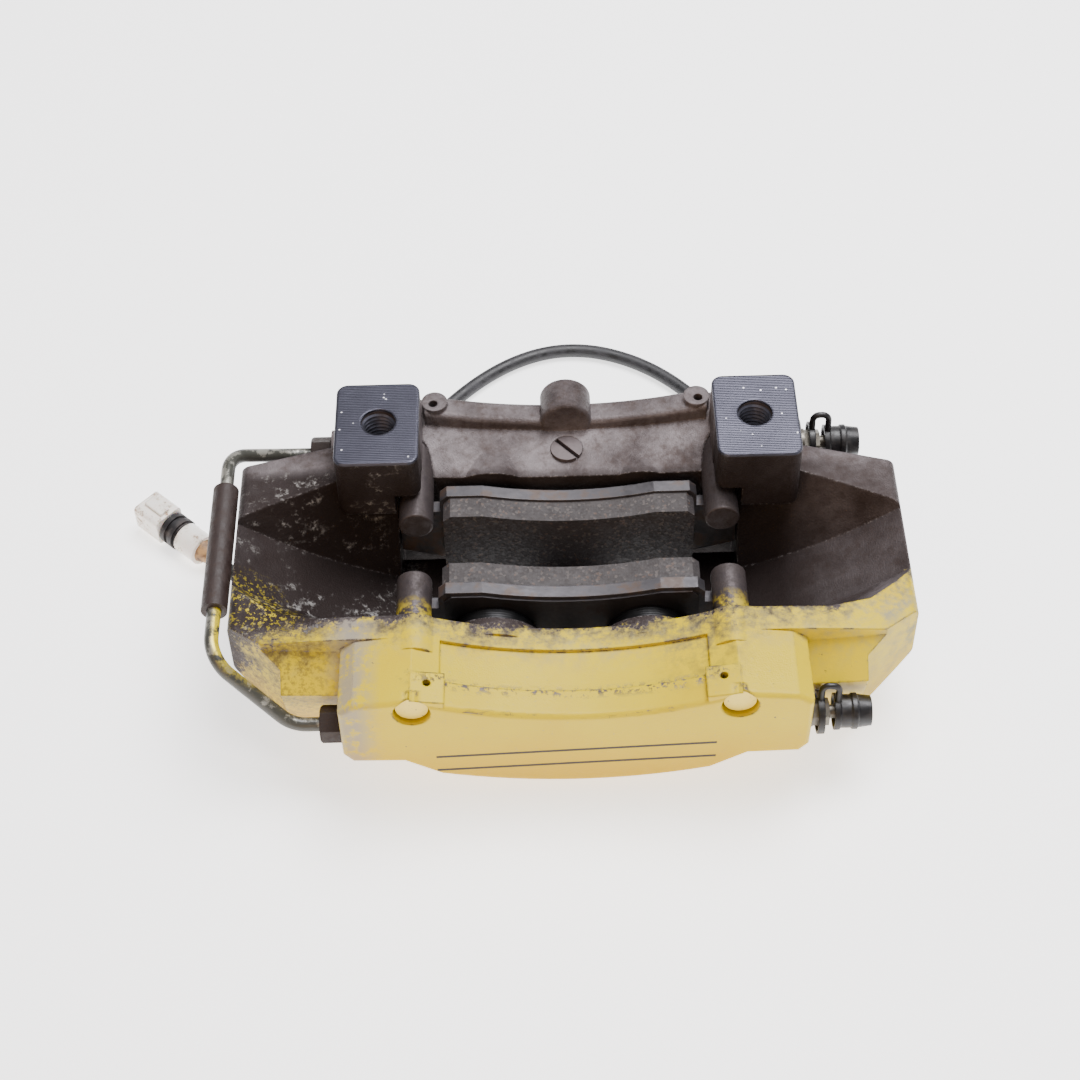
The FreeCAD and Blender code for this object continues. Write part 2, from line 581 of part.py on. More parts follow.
def pieces():
    yield "caliper_body", caliper_body()
    for side, word in ((-1, "left"), (1, "right")):
        yield "abutment_pin_inboard_" + word, inboard_pin(side)
        yield "abutment_pin_outboard_" + word, outboard_pin(side)
        yield "pin_cover_disc_" + word, cylinder_y(side * PIN_X, PIN_Z, 5.3, -103.8, -101.0)
    for word, x, radius in BORES:
        yield "piston_inboard_" + word, piston(x, radius, IN_SHIM_Y, 1)
        yield "piston_outboard_" + word, piston(x, radius, OUT_SHIM_Y, -1)
        yield "piston_seal_inboard_" + word, seal(x, radius, IN_WALL_Y, 1)
        yield "piston_seal_outboard_" + word, seal(x, radius, BOSS_FACE_Y, -1)
        yield "dust_boot_inboard_" + word, boot(x, radius, IN_WALL_Y, 1)
        yield "dust_boot_outboard_" + word, boot(x, radius, BOSS_FACE_Y, -1)
    for half, shim_y, friction_y in (("inboard", IN_SHIM_Y, IN_FRICTION_Y), ("outboard", OUT_SHIM_Y, OUT_FRICTION_Y)):
        shim, plate, friction = pad_pieces(shim_y, friction_y)
        yield "damping_shim_" + half, shim
        yield "backing_plate_" + half, plate
        yield "friction_block_" + half, friction
    yield "pad_retaining_pin", pad_keeper()
    yield "pad_spring_plate", spring_plate()
    yield "retaining_pin_clip", keeper_clip()
    yield "passage_plug", passage_plug()
    yield "crossover_pipe", tube(pipe_points(), PIPE_R, PIPE_BEND_R)
    yield "pipe_sleeve", ring_y(PIPE_X, PIPE_Z, PIPE_R + 0.15, SLEEVE_R, -67.5, -14.5)
    yield "pipe_nut_inboard", pipe_nut(IN_PORT_Y, IN_PORT_Z, IN_PORT_X)
    yield "pipe_nut_outboard", pipe_nut(OUT_PORT_Y, OUT_PORT_Z, FACE_HALF_X)
    yield "bleed_screw_inboard", bleed_screw(IN_PORT_Y, IN_PORT_Z, IN_PORT_X)
    yield "bleed_screw_outboard", bleed_screw(OUT_PORT_Y, OUT_PORT_Z, FACE_HALF_X)
    yield "bleed_cap_inboard", bleed_cap(IN_PORT_Y, IN_PORT_Z, IN_PORT_X)
    yield "bleed_cap_outboard", bleed_cap(OUT_PORT_Y, OUT_PORT_Z, FACE_HALF_X)
    yield "wear_sensor_head", sensor_head()
    yield "sensor_cable", tube(cable_points(), CABLE_R)
    yield "connector_body", connector_body()
    yield "connector_seal", connector_seal()
    yield "connector_grommet", connector_grommet()


os.makedirs("parts", exist_ok=True)
for name, shape in pieces():
    solids = shape.Solids
    good = shape.isValid() and all(s.isClosed() for s in solids)
    box_now = shape.optimalBoundingBox()
    print(name, "solids", len(solids), "valid", good, "volume", round(shape.Volume),
          "z", round(box_now.ZMin, 1), round(box_now.ZMax, 1))
    keep = solids[0] if len(solids) == 1 else Part.makeCompound(solids)
    keep.exportStep("parts/" + name + ".step")
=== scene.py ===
import math

import bpy
import numpy as np
from mathutils import Matrix, Vector


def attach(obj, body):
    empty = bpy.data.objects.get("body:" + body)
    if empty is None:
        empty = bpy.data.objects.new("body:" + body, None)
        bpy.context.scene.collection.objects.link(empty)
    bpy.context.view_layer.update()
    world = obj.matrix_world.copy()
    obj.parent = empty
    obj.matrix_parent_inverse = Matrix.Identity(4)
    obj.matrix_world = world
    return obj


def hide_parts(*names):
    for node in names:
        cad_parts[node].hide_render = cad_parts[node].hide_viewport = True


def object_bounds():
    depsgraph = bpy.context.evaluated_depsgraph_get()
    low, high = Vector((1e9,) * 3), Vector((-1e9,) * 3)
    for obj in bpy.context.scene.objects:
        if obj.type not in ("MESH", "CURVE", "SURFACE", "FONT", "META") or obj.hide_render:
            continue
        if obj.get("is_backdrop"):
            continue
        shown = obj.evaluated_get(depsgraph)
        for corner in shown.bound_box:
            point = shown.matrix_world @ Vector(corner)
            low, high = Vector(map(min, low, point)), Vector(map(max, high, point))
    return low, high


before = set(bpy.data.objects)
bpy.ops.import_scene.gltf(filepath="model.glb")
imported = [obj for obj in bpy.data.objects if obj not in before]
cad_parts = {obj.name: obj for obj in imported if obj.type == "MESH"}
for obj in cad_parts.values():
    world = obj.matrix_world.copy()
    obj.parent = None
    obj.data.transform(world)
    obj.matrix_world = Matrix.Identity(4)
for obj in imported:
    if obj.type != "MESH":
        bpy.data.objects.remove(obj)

cad_low, cad_high = (list(corner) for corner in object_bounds())

# Caliper body: one casting in aluminium alloy that holds the four cylinders. Its outboard half is sprayed
# yellow, the paint is chipped on the edges and dusty beside the window, and the inboard half and the
# disc's recess are bare metal browned by brake dust; the recess is also darkened with painted shade, near
# black deep inside it. The tops of the two lugs are milled flat.


def linear(hex_colour):
    """Red, green, blue and alpha of an sRGB hex colour, turned to linear light."""
    parts = [int(hex_colour[i:i + 2], 16) / 255 for i in (1, 3, 5)]
    return [p / 12.92 if p <= 0.04045 else ((p + 0.055) / 1.055) ** 2.4 for p in parts] + [1.0]


def add(tree, kind, inputs=None, **settings):
    """Adds one shader node with its settings. Each input, found by name or by its place among the live
    ones, takes a number, a colour, a socket, or a node, whose first live output it uses."""
    node = tree.nodes.new("ShaderNode" + kind)
    for name, value in settings.items():
        setattr(node, name, value)
    live = [s for s in node.inputs if s.enabled]
    for name, value in (inputs or {}).items():
        socket = live[name] if isinstance(name, int) else [s for s in live if s.name == name][0]
        if isinstance(value, bpy.types.Node):
            value = [s for s in value.outputs if s.enabled][0]
        if isinstance(value, bpy.types.NodeSocket):
            tree.links.new(value, socket)
        else:
            socket.default_value = linear(value) if isinstance(value, str) else value
    return node


def finish_named(name):
    """New empty material, its node tree, and the object coordinates of the surface in metres."""
    material = bpy.data.materials.new(name)
    material.use_nodes = True
    material.node_tree.nodes.clear()
    return material, material.node_tree, add(material.node_tree, "TexCoord").outputs["Object"]


def dress(material, *pieces):
    """Gives a finish to pieces, named as in the frame or passed as objects."""
    for piece in pieces:
        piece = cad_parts[piece] if isinstance(piece, str) else piece
        if not piece.material_slots:
            piece.data.materials.append(material)
        for slot in piece.material_slots:
            slot.material = material


body_finish, tree, place = finish_named("sprayed_and_bare_cast_aluminium")
x, y, z = add(tree, "SeparateXYZ", {0: place}).outputs
geometry = add(tree, "NewGeometry")
facing = add(tree, "SeparateXYZ", {0: geometry.outputs["True Normal"]}).outputs
rounded = add(tree, "Bevel", {"Radius": 0.0011}, samples=6)
alignment = add(tree, "VectorMath", {0: rounded, 1: geometry.outputs["True Normal"]},
                operation="DOT_PRODUCT").outputs["Value"]
edge = add(tree, "MapRange", {0: alignment, 1: 0.985, 2: 0.90})
clouds = add(tree, "TexNoise", {"Vector": place, "Scale": 55.0, "Detail": 6.0, "Roughness": 0.62}).outputs[0]
patches = add(tree, "TexNoise", {"Vector": place, "Scale": 210.0, "Detail": 6.0, "Roughness": 0.68}).outputs[0]
flecks = add(tree, "TexNoise", {"Vector": place, "Scale": 620.0, "Detail": 5.0, "Roughness": 0.7}).outputs[0]
grain = add(tree, "TexNoise", {"Vector": place, "Scale": 1900.0, "Detail": 3.0}).outputs[0]

# Where the spray reaches: to about 70 mm outboard of the bolt holes, further inboard on the right end and
# less far on the left, with a ragged edge.
right_reach = add(tree, "MapRange", {0: x, 1: 0.088, 2: 0.106, 3: 0.0, 4: -0.017})
left_reach = add(tree, "MapRange", {0: x, 1: -0.080, 2: -0.098, 3: 0.0, 4: 0.005})
wobble = add(tree, "MapRange", {0: clouds, 1: 0.3, 2: 0.7, 3: -0.005, 4: 0.005})
ragged = add(tree, "MapRange", {0: flecks, 1: 0.3, 2: 0.7, 3: -0.003, 4: 0.003})
spray_line = -0.0712
reach = add(tree, "Math", {0: y, 1: right_reach}, operation="ADD")
reach = add(tree, "Math", {0: reach, 1: left_reach}, operation="ADD")
reach = add(tree, "Math", {0: reach, 1: wobble}, operation="ADD")
reach = add(tree, "Math", {0: reach, 1: ragged}, operation="ADD")
sprayed = add(tree, "MapRange", {0: reach, 1: spray_line + 0.0020, 2: spray_line})
outward = add(tree, "MapRange", {0: facing[1], 1: 0.55, 2: 0.30})
sprayed = add(tree, "Math", {0: sprayed, 1: outward}, operation="MULTIPLY")
worn = add(tree, "MapRange", {0: patches, 1: 0.50, 2: 0.57})
worn = add(tree, "Math", {0: worn, 1: edge}, operation="MULTIPLY")
knocks = add(tree, "TexNoise", {"Vector": place, "Scale": 330.0, "Detail": 4.0, "Roughness": 0.75}).outputs[0]
lip_y, block_x = -0.0955, -0.0730
near_lip = add(tree, "Math", {0: y, 1: -lip_y}, operation="ADD")
near_lip = add(tree, "Math", {0: near_lip}, operation="ABSOLUTE")
near_lip = add(tree, "MapRange", {0: near_lip, 1: 0.0035, 2: 0.0005})
left_lip = add(tree, "Math", {0: x}, operation="ABSOLUTE")
left_lip = add(tree, "MapRange", {0: left_lip, 1: 0.060, 2: 0.045})
near_lip = add(tree, "Math", {0: near_lip, 1: left_lip}, operation="MULTIPLY")
lip_chips = add(tree, "MapRange", {0: knocks, 1: 0.52, 2: 0.56})
lip_chips = add(tree, "Math", {0: lip_chips, 1: near_lip}, operation="MULTIPLY")
stray_chips = add(tree, "MapRange", {0: knocks, 1: 0.70, 2: 0.72})
chips = add(tree, "Math", {0: lip_chips, 1: stray_chips}, operation="MAXIMUM")
chips = add(tree, "Math", {0: chips, 1: worn}, operation="MAXIMUM")
block_edge = add(tree, "Math", {0: x, 1: -block_x}, operation="ADD")
block_edge = add(tree, "Math", {0: block_edge}, operation="ABSOLUTE")
block_edge = add(tree, "MapRange", {0: block_edge, 1: 0.0100, 2: 0.0020})
block_edge = add(tree, "Math", {0: block_edge, 1: add(tree, "MapRange", {0: patches, 1: 0.38, 2: 0.50})},
                 operation="MULTIPLY")
kept = add(tree, "Math", {0: 1.0, 1: chips}, operation="SUBTRACT")
sprayed = add(tree, "Math", {0: sprayed, 1: kept}, operation="MULTIPLY")

# Paint: dusty grey beside the window, warmer and duller low on the skirt, with a plain double pinstripe
# on the front face.
paint = add(tree, "Mix", {0: clouds, 1: "#d6bf00", 2: "#caac00"}, data_type="RGBA")
dust_band = add(tree, "MapRange", {0: y, 1: -0.088, 2: -0.070})
dust_cloud = add(tree, "MapRange", {0: patches, 1: 0.42, 2: 0.66})
dust = add(tree, "Math", {0: dust_band, 1: dust_cloud}, operation="MULTIPLY")
dirt_specks = add(tree, "MapRange", {0: flecks, 1: 0.60, 2: 0.74, 3: 0.0, 4: 0.45})
dust = add(tree, "Math", {0: dust, 1: dirt_specks}, operation="MAXIMUM")
paint = add(tree, "Mix", {0: dust, 1: paint, 2: "#8e8a78"}, data_type="RGBA")
near_edge = add(tree, "MapRange", {0: reach, 1: -0.0800, 2: spray_line})
edge_dirt = add(tree, "MapRange", {0: patches, 1: 0.40, 2: 0.62, 3: 0.10, 4: 0.95})
edge_dirt = add(tree, "Math", {0: edge_dirt, 1: near_edge}, operation="MULTIPLY")
paint = add(tree, "Mix", {0: edge_dirt, 1: paint, 2: "#4d432c"}, data_type="RGBA")
left_end_dirt = add(tree, "MapRange", {0: x, 1: -0.070, 2: -0.090})
speckled = add(tree, "MapRange", {0: flecks, 1: 0.46, 2: 0.60, 3: 0.10, 4: 0.70})
left_end_dirt = add(tree, "Math", {0: left_end_dirt, 1: speckled}, operation="MULTIPLY")
paint = add(tree, "Mix", {0: left_end_dirt, 1: paint, 2: "#6a5b30"}, data_type="RGBA")
smudge_centre = (0.040, -0.082, -0.012)
smudge = add(tree, "VectorMath", {0: place, 1: smudge_centre}, operation="DISTANCE").outputs["Value"]
smudge = add(tree, "MapRange", {0: smudge, 1: 0.024, 2: 0.004})
smudge = add(tree, "Math", {0: smudge, 1: dust_cloud}, operation="MULTIPLY")
paint = add(tree, "Mix", {0: smudge, 1: paint, 2: "#4a463f"}, data_type="RGBA")
block_dust = add(tree, "Math", {0: block_edge, 1: 0.80}, operation="MULTIPLY")
paint = add(tree, "Mix", {0: block_dust, 1: paint, 2: "#8f8880"}, data_type="RGBA")
low_face = add(tree, "MapRange", {0: z, 1: -0.036, 2: -0.060, 3: 0.0, 4: 0.5})
paint = add(tree, "Mix", {0: low_face, 1: paint, 2: "#c89600"}, data_type="RGBA")
stripe_z, stripe_tilt = -0.05135, -0.050
stripe_offset, stripe_half_width, stripe_half_length = 0.0038, 0.0006, 0.0463
stripe_slope = add(tree, "Math", {0: x, 1: stripe_tilt, 2: z}, operation="MULTIPLY_ADD")
stripe = add(tree, "Math", {0: stripe_slope, 1: -stripe_z}, operation="ADD")
stripe = add(tree, "Math", {0: stripe}, operation="ABSOLUTE")
stripe = add(tree, "Math", {0: stripe, 1: stripe_offset, 2: stripe_half_width}, operation="COMPARE")
across = add(tree, "Math", {0: x}, operation="ABSOLUTE")
across = add(tree, "Math", {0: across, 1: stripe_half_length}, operation="LESS_THAN")
frontal = add(tree, "Math", {0: facing[1], 1: -0.6}, operation="LESS_THAN")
stripe = add(tree, "Math", {0: stripe, 1: across}, operation="MULTIPLY")
stripe = add(tree, "Math", {0: stripe, 1: frontal}, operation="MULTIPLY")
paint = add(tree, "Mix", {0: stripe, 1: paint, 2: "#2c2925"}, data_type="RGBA")

# Bare casting: brown-grey on the inboard half. In the recess it is darkened brown, partly brake dust and partly
# painted shade, and near black deep inside as painted shade over the dust, the painted shade lifting towards
# the recess ends; white corrosion at the left one.
cloud_contrast = add(tree, "MapRange", {0: clouds, 1: 0.30, 2: 0.70})
cast = add(tree, "Mix", {0: cloud_contrast, 1: "#352d2c", 2: "#7b7475"}, data_type="RGBA")
brown = add(tree, "MapRange", {0: patches, 1: 0.48, 2: 0.68, 3: 0.0, 4: 0.55})
cast = add(tree, "Mix", {0: brown, 1: cast, 2: "#41342e"}, data_type="RGBA")
hub_centre = (0.0, 0.0, 0.112)
from_hub = add(tree, "VectorMath", {0: place, 1: hub_centre}, operation="SUBTRACT")
from_hub = add(tree, "VectorMath", {0: from_hub, 1: (1.0, 0.0, 1.0)}, operation="MULTIPLY")
hub_radius = add(tree, "VectorMath", {0: from_hub}, operation="LENGTH").outputs["Value"]
deep = add(tree, "MapRange", {0: hub_radius, 1: 0.138, 2: 0.160})
inner_side = add(tree, "MapRange", {0: y, 1: -0.002, 2: -0.007})
outer_side = add(tree, "MapRange", {0: reach, 1: -0.071, 2: -0.067})
in_recess = add(tree, "Math", {0: inner_side, 1: outer_side}, operation="MULTIPLY")
left_glow = add(tree, "MapRange", {0: x, 1: -0.092, 2: -0.112, 3: 1.0, 4: 0.55})
right_glow = add(tree, "MapRange", {0: x, 1: 0.074, 2: 0.092, 3: 1.0, 4: 0.0})
# Painted shade: near black deep in the recess, lifted at its lit ends; then the whole recess is darkened brown,
# partly as dust and partly as painted shade.
recess_shade_and_soot = add(tree, "Math", {0: deep, 1: 0.70}, operation="MAXIMUM")
recess_shade_and_soot = add(tree, "Math", {0: recess_shade_and_soot, 1: in_recess}, operation="MULTIPLY")
recess_shade_and_soot = add(tree, "Math", {0: recess_shade_and_soot, 1: left_glow}, operation="MULTIPLY")
recess_shade_and_soot = add(tree, "Math", {0: recess_shade_and_soot, 1: right_glow}, operation="MULTIPLY")
cast = add(tree, "Mix", {0: recess_shade_and_soot, 1: cast, 2: "#171213"}, data_type="RGBA")
recess_dust_and_shade = add(tree, "Math", {0: in_recess, 1: 0.60}, operation="MULTIPLY")
cast = add(tree, "Mix", {0: recess_dust_and_shade, 1: cast, 2: "#2c2320"}, data_type="RGBA")
left_end = add(tree, "MapRange", {0: x, 1: -0.050, 2: -0.068})
bloom = add(tree, "MapRange", {0: patches, 1: 0.50, 2: 0.60})
bloom_specks = add(tree, "MapRange", {0: flecks, 1: 0.46, 2: 0.60})
bloom = add(tree, "Math", {0: bloom, 1: bloom_specks}, operation="MULTIPLY")
bloom_cloud = add(tree, "MapRange", {0: clouds, 1: 0.47, 2: 0.56})
bloom = add(tree, "Math", {0: bloom, 1: bloom_cloud}, operation="MULTIPLY")
bloom = add(tree, "Math", {0: bloom, 1: left_end}, operation="MULTIPLY")
bloom = add(tree, "Math", {0: bloom, 1: in_recess}, operation="MULTIPLY")
cast = add(tree, "Mix", {0: bloom, 1: cast, 2: "#8f8c89"}, data_type="RGBA")
mist_centre = (-0.103, -0.058, -0.022)
mist_distance = add(tree, "VectorMath", {0: place, 1: mist_centre}, operation="DISTANCE")
mist = add(tree, "MapRange", {0: mist_distance.outputs["Value"], 1: 0.020, 2: 0.004})
mist_specks = add(tree, "MapRange", {0: flecks, 1: 0.54, 2: 0.58})
mist = add(tree, "Math", {0: mist, 1: mist_specks}, operation="MULTIPLY")
cast = add(tree, "Mix", {0: mist, 1: cast, 2: "#d2bc20"}, data_type="RGBA")
scuffed = add(tree, "MapRange", {0: flecks, 1: 0.50, 2: 0.62, 3: 0.0, 4: 0.6})
scuffed = add(tree, "Math", {0: scuffed, 1: edge}, operation="MULTIPLY")
cast = add(tree, "Mix", {0: scuffed, 1: cast, 2: "#918b8a"}, data_type="RGBA")

# Milled lug tops: fine straight tool marks about 0.8 mm apart, blue-grey, with small white nicks.
milled = add(tree, "MapRange", {0: z, 1: -0.0012, 2: -0.0007})
milled_tone = add(tree, "Mix", {0: clouds, 1: "#303037", 2: "#54545f"}, data_type="RGBA")
nick_cells = add(tree, "TexVoronoi", {"Vector": place, "Scale": 230.0, "Randomness": 1.0}).outputs["Distance"]
nicks = add(tree, "MapRange", {0: nick_cells, 1: 0.10, 2: 0.05})
milled_tone = add(tree, "Mix", {0: nicks, 1: milled_tone, 2: "#e9e8ee"}, data_type="RGBA")
cast = add(tree, "Mix", {0: milled, 1: cast, 2: milled_tone}, data_type="RGBA")

colour = add(tree, "Mix", {0: sprayed, 1: cast, 2: paint}, data_type="RGBA")
metal = add(tree, "MapRange", {0: milled, 3: 0.35, 4: 0.85})
bare = add(tree, "Math", {0: 1.0, 1: sprayed}, operation="SUBTRACT")
metal = add(tree, "Math", {0: metal, 1: bare}, operation="MULTIPLY")
cast_gloss = add(tree, "MapRange", {0: patches, 1: 0.3, 2: 0.7, 3: 0.42, 4: 0.66})
cast_gloss = add(tree, "Mix", {0: milled, 1: cast_gloss, 2: 0.34}, data_type="FLOAT")
paint_gloss = add(tree, "MapRange", {0: dust, 3: 0.30, 4: 0.62})
gloss = add(tree, "Mix", {0: sprayed, 1: cast_gloss, 2: paint_gloss}, data_type="FLOAT")
cast_height = add(tree, "MapRange", {0: grain, 3: 0.0, 4: 1.0})
cast_height = add(tree, "Math", {0: cast_height, 1: flecks}, operation="ADD")
tool_marks = add(tree, "TexWave", {"Vector": place, "Scale": 390.0, "Distortion": 0.6}, bands_direction="Y")
tool_height = add(tree, "Math", {0: tool_marks.outputs["Fac"], 1: 0.2}, operation="MULTIPLY")
height = add(tree, "Mix", {0: milled, 1: cast_height, 2: tool_height}, data_type="FLOAT")
relief = add(tree, "MapRange", {0: sprayed, 3: 0.55, 4: 0.22})
bump = add(tree, "Bump", {"Strength": relief, "Distance": 0.00035, "Height": height, "Normal": rounded})
step = add(tree, "Bump", {"Strength": 0.5, "Distance": 0.0002, "Height": sprayed, "Normal": bump})
shader = add(tree, "BsdfPrincipled", {"Base Color": colour, "Metallic": metal, "Roughness": gloss,
                                      "Normal": step, "Specular IOR Level": 0.18})
add(tree, "OutputMaterial", {"Surface": shader})
dress(body_finish, "caliper_body")


# Bolt holes of the lugs: M12 threads of 1.75 mm pitch, cut into the aluminium. The bores of the casting
# stand for the root of the thread, and these ridges for its crests, darkened by old grease.
def surface(name, points, close_u=False, close_v=False, smooth=True):
    """Mesh of a grid of points, rows by columns by 3; close_u and close_v join its last row or column to
    the first."""
    rows, cols = points.shape[:2]
    index = np.arange(rows * cols).reshape(rows, cols)
    index = np.vstack([index, index[:1]]) if close_u else index
    index = np.hstack([index, index[:, :1]]) if close_v else index
    faces = np.stack([index[:-1, :-1], index[1:, :-1], index[1:, 1:], index[:-1, 1:]], -1).reshape(-1, 4)
    mesh = bpy.data.meshes.new(name)
    mesh.from_pydata(points.reshape(-1, 3).tolist(), [], faces.tolist())
    mesh.polygons.foreach_set("use_smooth", [smooth] * len(mesh.polygons))
    obj = bpy.data.objects.new(name, mesh)
    bpy.context.scene.collection.objects.link(obj)
    return obj


def thread(name, centre_x, radius, depth, pitch, bottom, top, per_turn=48):
    """Inner thread: a closed triangle, whose crest stands depth inside the bore's radius, carried along a
    helix that climbs one pitch in each turn."""
    turns = (top - bottom) / pitch
    angle = np.linspace(0, 2 * math.pi * turns, int(turns * per_turn))[:, None]
    rise = bottom + pitch * angle / (2 * math.pi)
    fade = np.clip(np.minimum(angle, angle[::-1]) / math.pi, 0.02, 1.0)
    sunk = 0.0001
    out = radius + sunk - fade * np.array([0.0, depth + sunk, depth + sunk, 0.0])[None, :]
    up = rise + pitch * np.array([-0.44, -0.06, 0.06, 0.44])[None, :]
    points = np.stack([centre_x + out * np.cos(angle), out * np.sin(angle), up], -1)
    return surface(name, points[:, ::-1], close_v=True, smooth=False)


thread_finish, tree, place = finish_named("greasy_cut_aluminium")
film = add(tree, "TexNoise", {"Vector": place, "Scale": 420.0, "Detail": 4.0}).outputs[0]
tone = add(tree, "Mix", {0: film, 1: "#2c2c33", 2: "#777784"}, data_type="RGBA")
sheen = add(tree, "MapRange", {0: film, 3: 0.25, 4: 0.5})
bump = add(tree, "Bump", {"Strength": 0.2, "Distance": 0.0002, "Height": film})
shader = add(tree, "BsdfPrincipled", {"Base Color": tone, "Metallic": 0.8, "Roughness": sheen, "Normal": bump})
add(tree, "OutputMaterial", {"Surface": shader})
for side, centre_x in (("left", -0.065), ("right", 0.065)):
    ridge = thread("lug_thread_" + side, centre_x, radius=0.0060, depth=0.0007, pitch=0.00175,
                   bottom=-0.0190, top=-0.0016)
    dress(thread_finish, ridge)
    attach(ridge, "caliper")


# Abutment pins and their cover discs: turned steel pins pressed into the casting, which the pads' ears
# slide on, gone brown-grey with rust and baked dust. The discs close the outboard pins' holes and were
# sprayed with the body.
pin_finish, tree, place = finish_named("rust_browned_turned_steel")
rust = add(tree, "TexNoise", {"Vector": place, "Scale": 260.0, "Detail": 6.0, "Roughness": 0.7}).outputs[0]
soft = add(tree, "TexNoise", {"Vector": place, "Scale": 90.0, "Detail": 3.0}).outputs[0]
specks = add(tree, "TexNoise", {"Vector": place, "Scale": 1300.0, "Detail": 3.0}).outputs[0]
rusted = add(tree, "MapRange", {0: rust, 1: 0.40, 2: 0.66})
tone = add(tree, "Mix", {0: soft, 1: "#3d3637", 2: "#544d4d"}, data_type="RGBA")
tone = add(tree, "Mix", {0: rusted, 1: tone, 2: "#2f2624"}, data_type="RGBA")
geometry = add(tree, "NewGeometry")
rounded = add(tree, "Bevel", {"Radius": 0.0008}, samples=4)
alignment = add(tree, "VectorMath", {0: rounded, 1: geometry.outputs["True Normal"]},
                operation="DOT_PRODUCT").outputs["Value"]
rubbed = add(tree, "MapRange", {0: alignment, 1: 0.985, 2: 0.90, 3: 0.0, 4: 0.7})
tone = add(tree, "Mix", {0: rubbed, 1: tone, 2: "#5f5958"}, data_type="RGBA")
outboard = add(tree, "SeparateXYZ", {0: place}).outputs["Y"]
oversprayed = add(tree, "MapRange", {0: outboard, 1: -0.0610, 2: -0.0670})
mist = add(tree, "MapRange", {0: rust, 1: 0.44, 2: 0.56})
oversprayed = add(tree, "Math", {0: oversprayed, 1: mist}, operation="MULTIPLY")
tone = add(tree, "Mix", {0: oversprayed, 1: tone, 2: "#b09a20"}, data_type="RGBA")
metal = add(tree, "MapRange", {0: rusted, 3: 0.65, 4: 0.15})
sheen = add(tree, "MapRange", {0: rusted, 3: 0.40, 4: 0.75})
bump = add(tree, "Bump", {"Strength": 0.35, "Distance": 0.0003, "Height": specks, "Normal": rounded})
shader = add(tree, "BsdfPrincipled", {"Base Color": tone, "Metallic": metal, "Roughness": sheen, "Normal": bump})
add(tree, "OutputMaterial", {"Surface": shader})
dress(pin_finish, "abutment_pin_inboard_left", "abutment_pin_inboard_right",
      "abutment_pin_outboard_left", "abutment_pin_outboard_right")

disc_finish, tree, place = finish_named("sprayed_steel_disc")
patches = add(tree, "TexNoise", {"Vector": place, "Scale": 500.0, "Detail": 5.0, "Roughness": 0.7}).outputs[0]
lost = add(tree, "MapRange", {0: patches, 1: 0.62, 2: 0.66})
tone = add(tree, "Mix", {0: patches, 1: "#e6c94c", 2: "#f3dc55"}, data_type="RGBA")
tone = add(tree, "Mix", {0: lost, 1: tone, 2: "#6d6046"}, data_type="RGBA")
sheen = add(tree, "MapRange", {0: patches, 1: 0.3, 2: 0.7, 3: 0.32, 4: 0.5})
bump = add(tree, "Bump", {"Strength": 0.3, "Distance": 0.0002, "Height": patches})
shader = add(tree, "BsdfPrincipled", {"Base Color": tone, "Roughness": sheen, "Normal": bump})
add(tree, "OutputMaterial", {"Surface": shader})
dress(disc_finish, "pin_cover_disc_left", "pin_cover_disc_right")

# Pistons: four hard-anodised aluminium cups, turned, with fine rings about 1 mm apart, coloured near black as
# painted shade for the gap they sit in.
piston_finish_painted_shade, tree, place = finish_named("hard_anodised_aluminium_painted_shade")
wear = add(tree, "TexNoise", {"Vector": place, "Scale": 300.0, "Detail": 4.0}).outputs[0]
# Near-black tone: painted shade.
tone = add(tree, "Mix", {0: wear, 1: "#1b1b1c", 2: "#303031"}, data_type="RGBA")
rings = add(tree, "TexWave", {"Vector": place, "Scale": 320.0, "Distortion": 0.3}, bands_direction="Y")
sheen = add(tree, "MapRange", {0: wear, 3: 0.30, 4: 0.48})
bump = add(tree, "Bump", {"Strength": 0.12, "Distance": 0.0002, "Height": rings.outputs["Fac"]})
shader = add(tree, "BsdfPrincipled", {"Base Color": tone, "Metallic": 0.8, "Roughness": sheen, "Normal": bump})
add(tree, "OutputMaterial", {"Surface": shader})
corners = [half + "_" + side for half in ("inboard", "outboard") for side in ("left", "right")]
dress(piston_finish_painted_shade, *["piston_" + corner for corner in corners])

# Piston seals and dust boots: moulded EPDM rubber, black, the boots greyed by brake dust in their folds.
rubber_finish, tree, place = finish_named("moulded_black_rubber")
dusty = add(tree, "TexNoise", {"Vector": place, "Scale": 240.0, "Detail": 5.0, "Roughness": 0.65}).outputs[0]
cover = add(tree, "MapRange", {0: dusty, 1: 0.45, 2: 0.75})
tone = add(tree, "Mix", {0: cover, 1: "#1a181a", 2: "#46403e"}, data_type="RGBA")
sheen = add(tree, "MapRange", {0: cover, 3: 0.48, 4: 0.85})
pores = add(tree, "TexNoise", {"Vector": place, "Scale": 2200.0, "Detail": 2.0}).outputs[0]
bump = add(tree, "Bump", {"Strength": 0.2, "Distance": 0.0001, "Height": pores})
shader = add(tree, "BsdfPrincipled", {"Base Color": tone, "Roughness": sheen, "Normal": bump})
add(tree, "OutputMaterial", {"Surface": shader})
dress(rubber_finish, *["piston_seal_" + corner for corner in corners],
      *["dust_boot_" + corner for corner in corners])

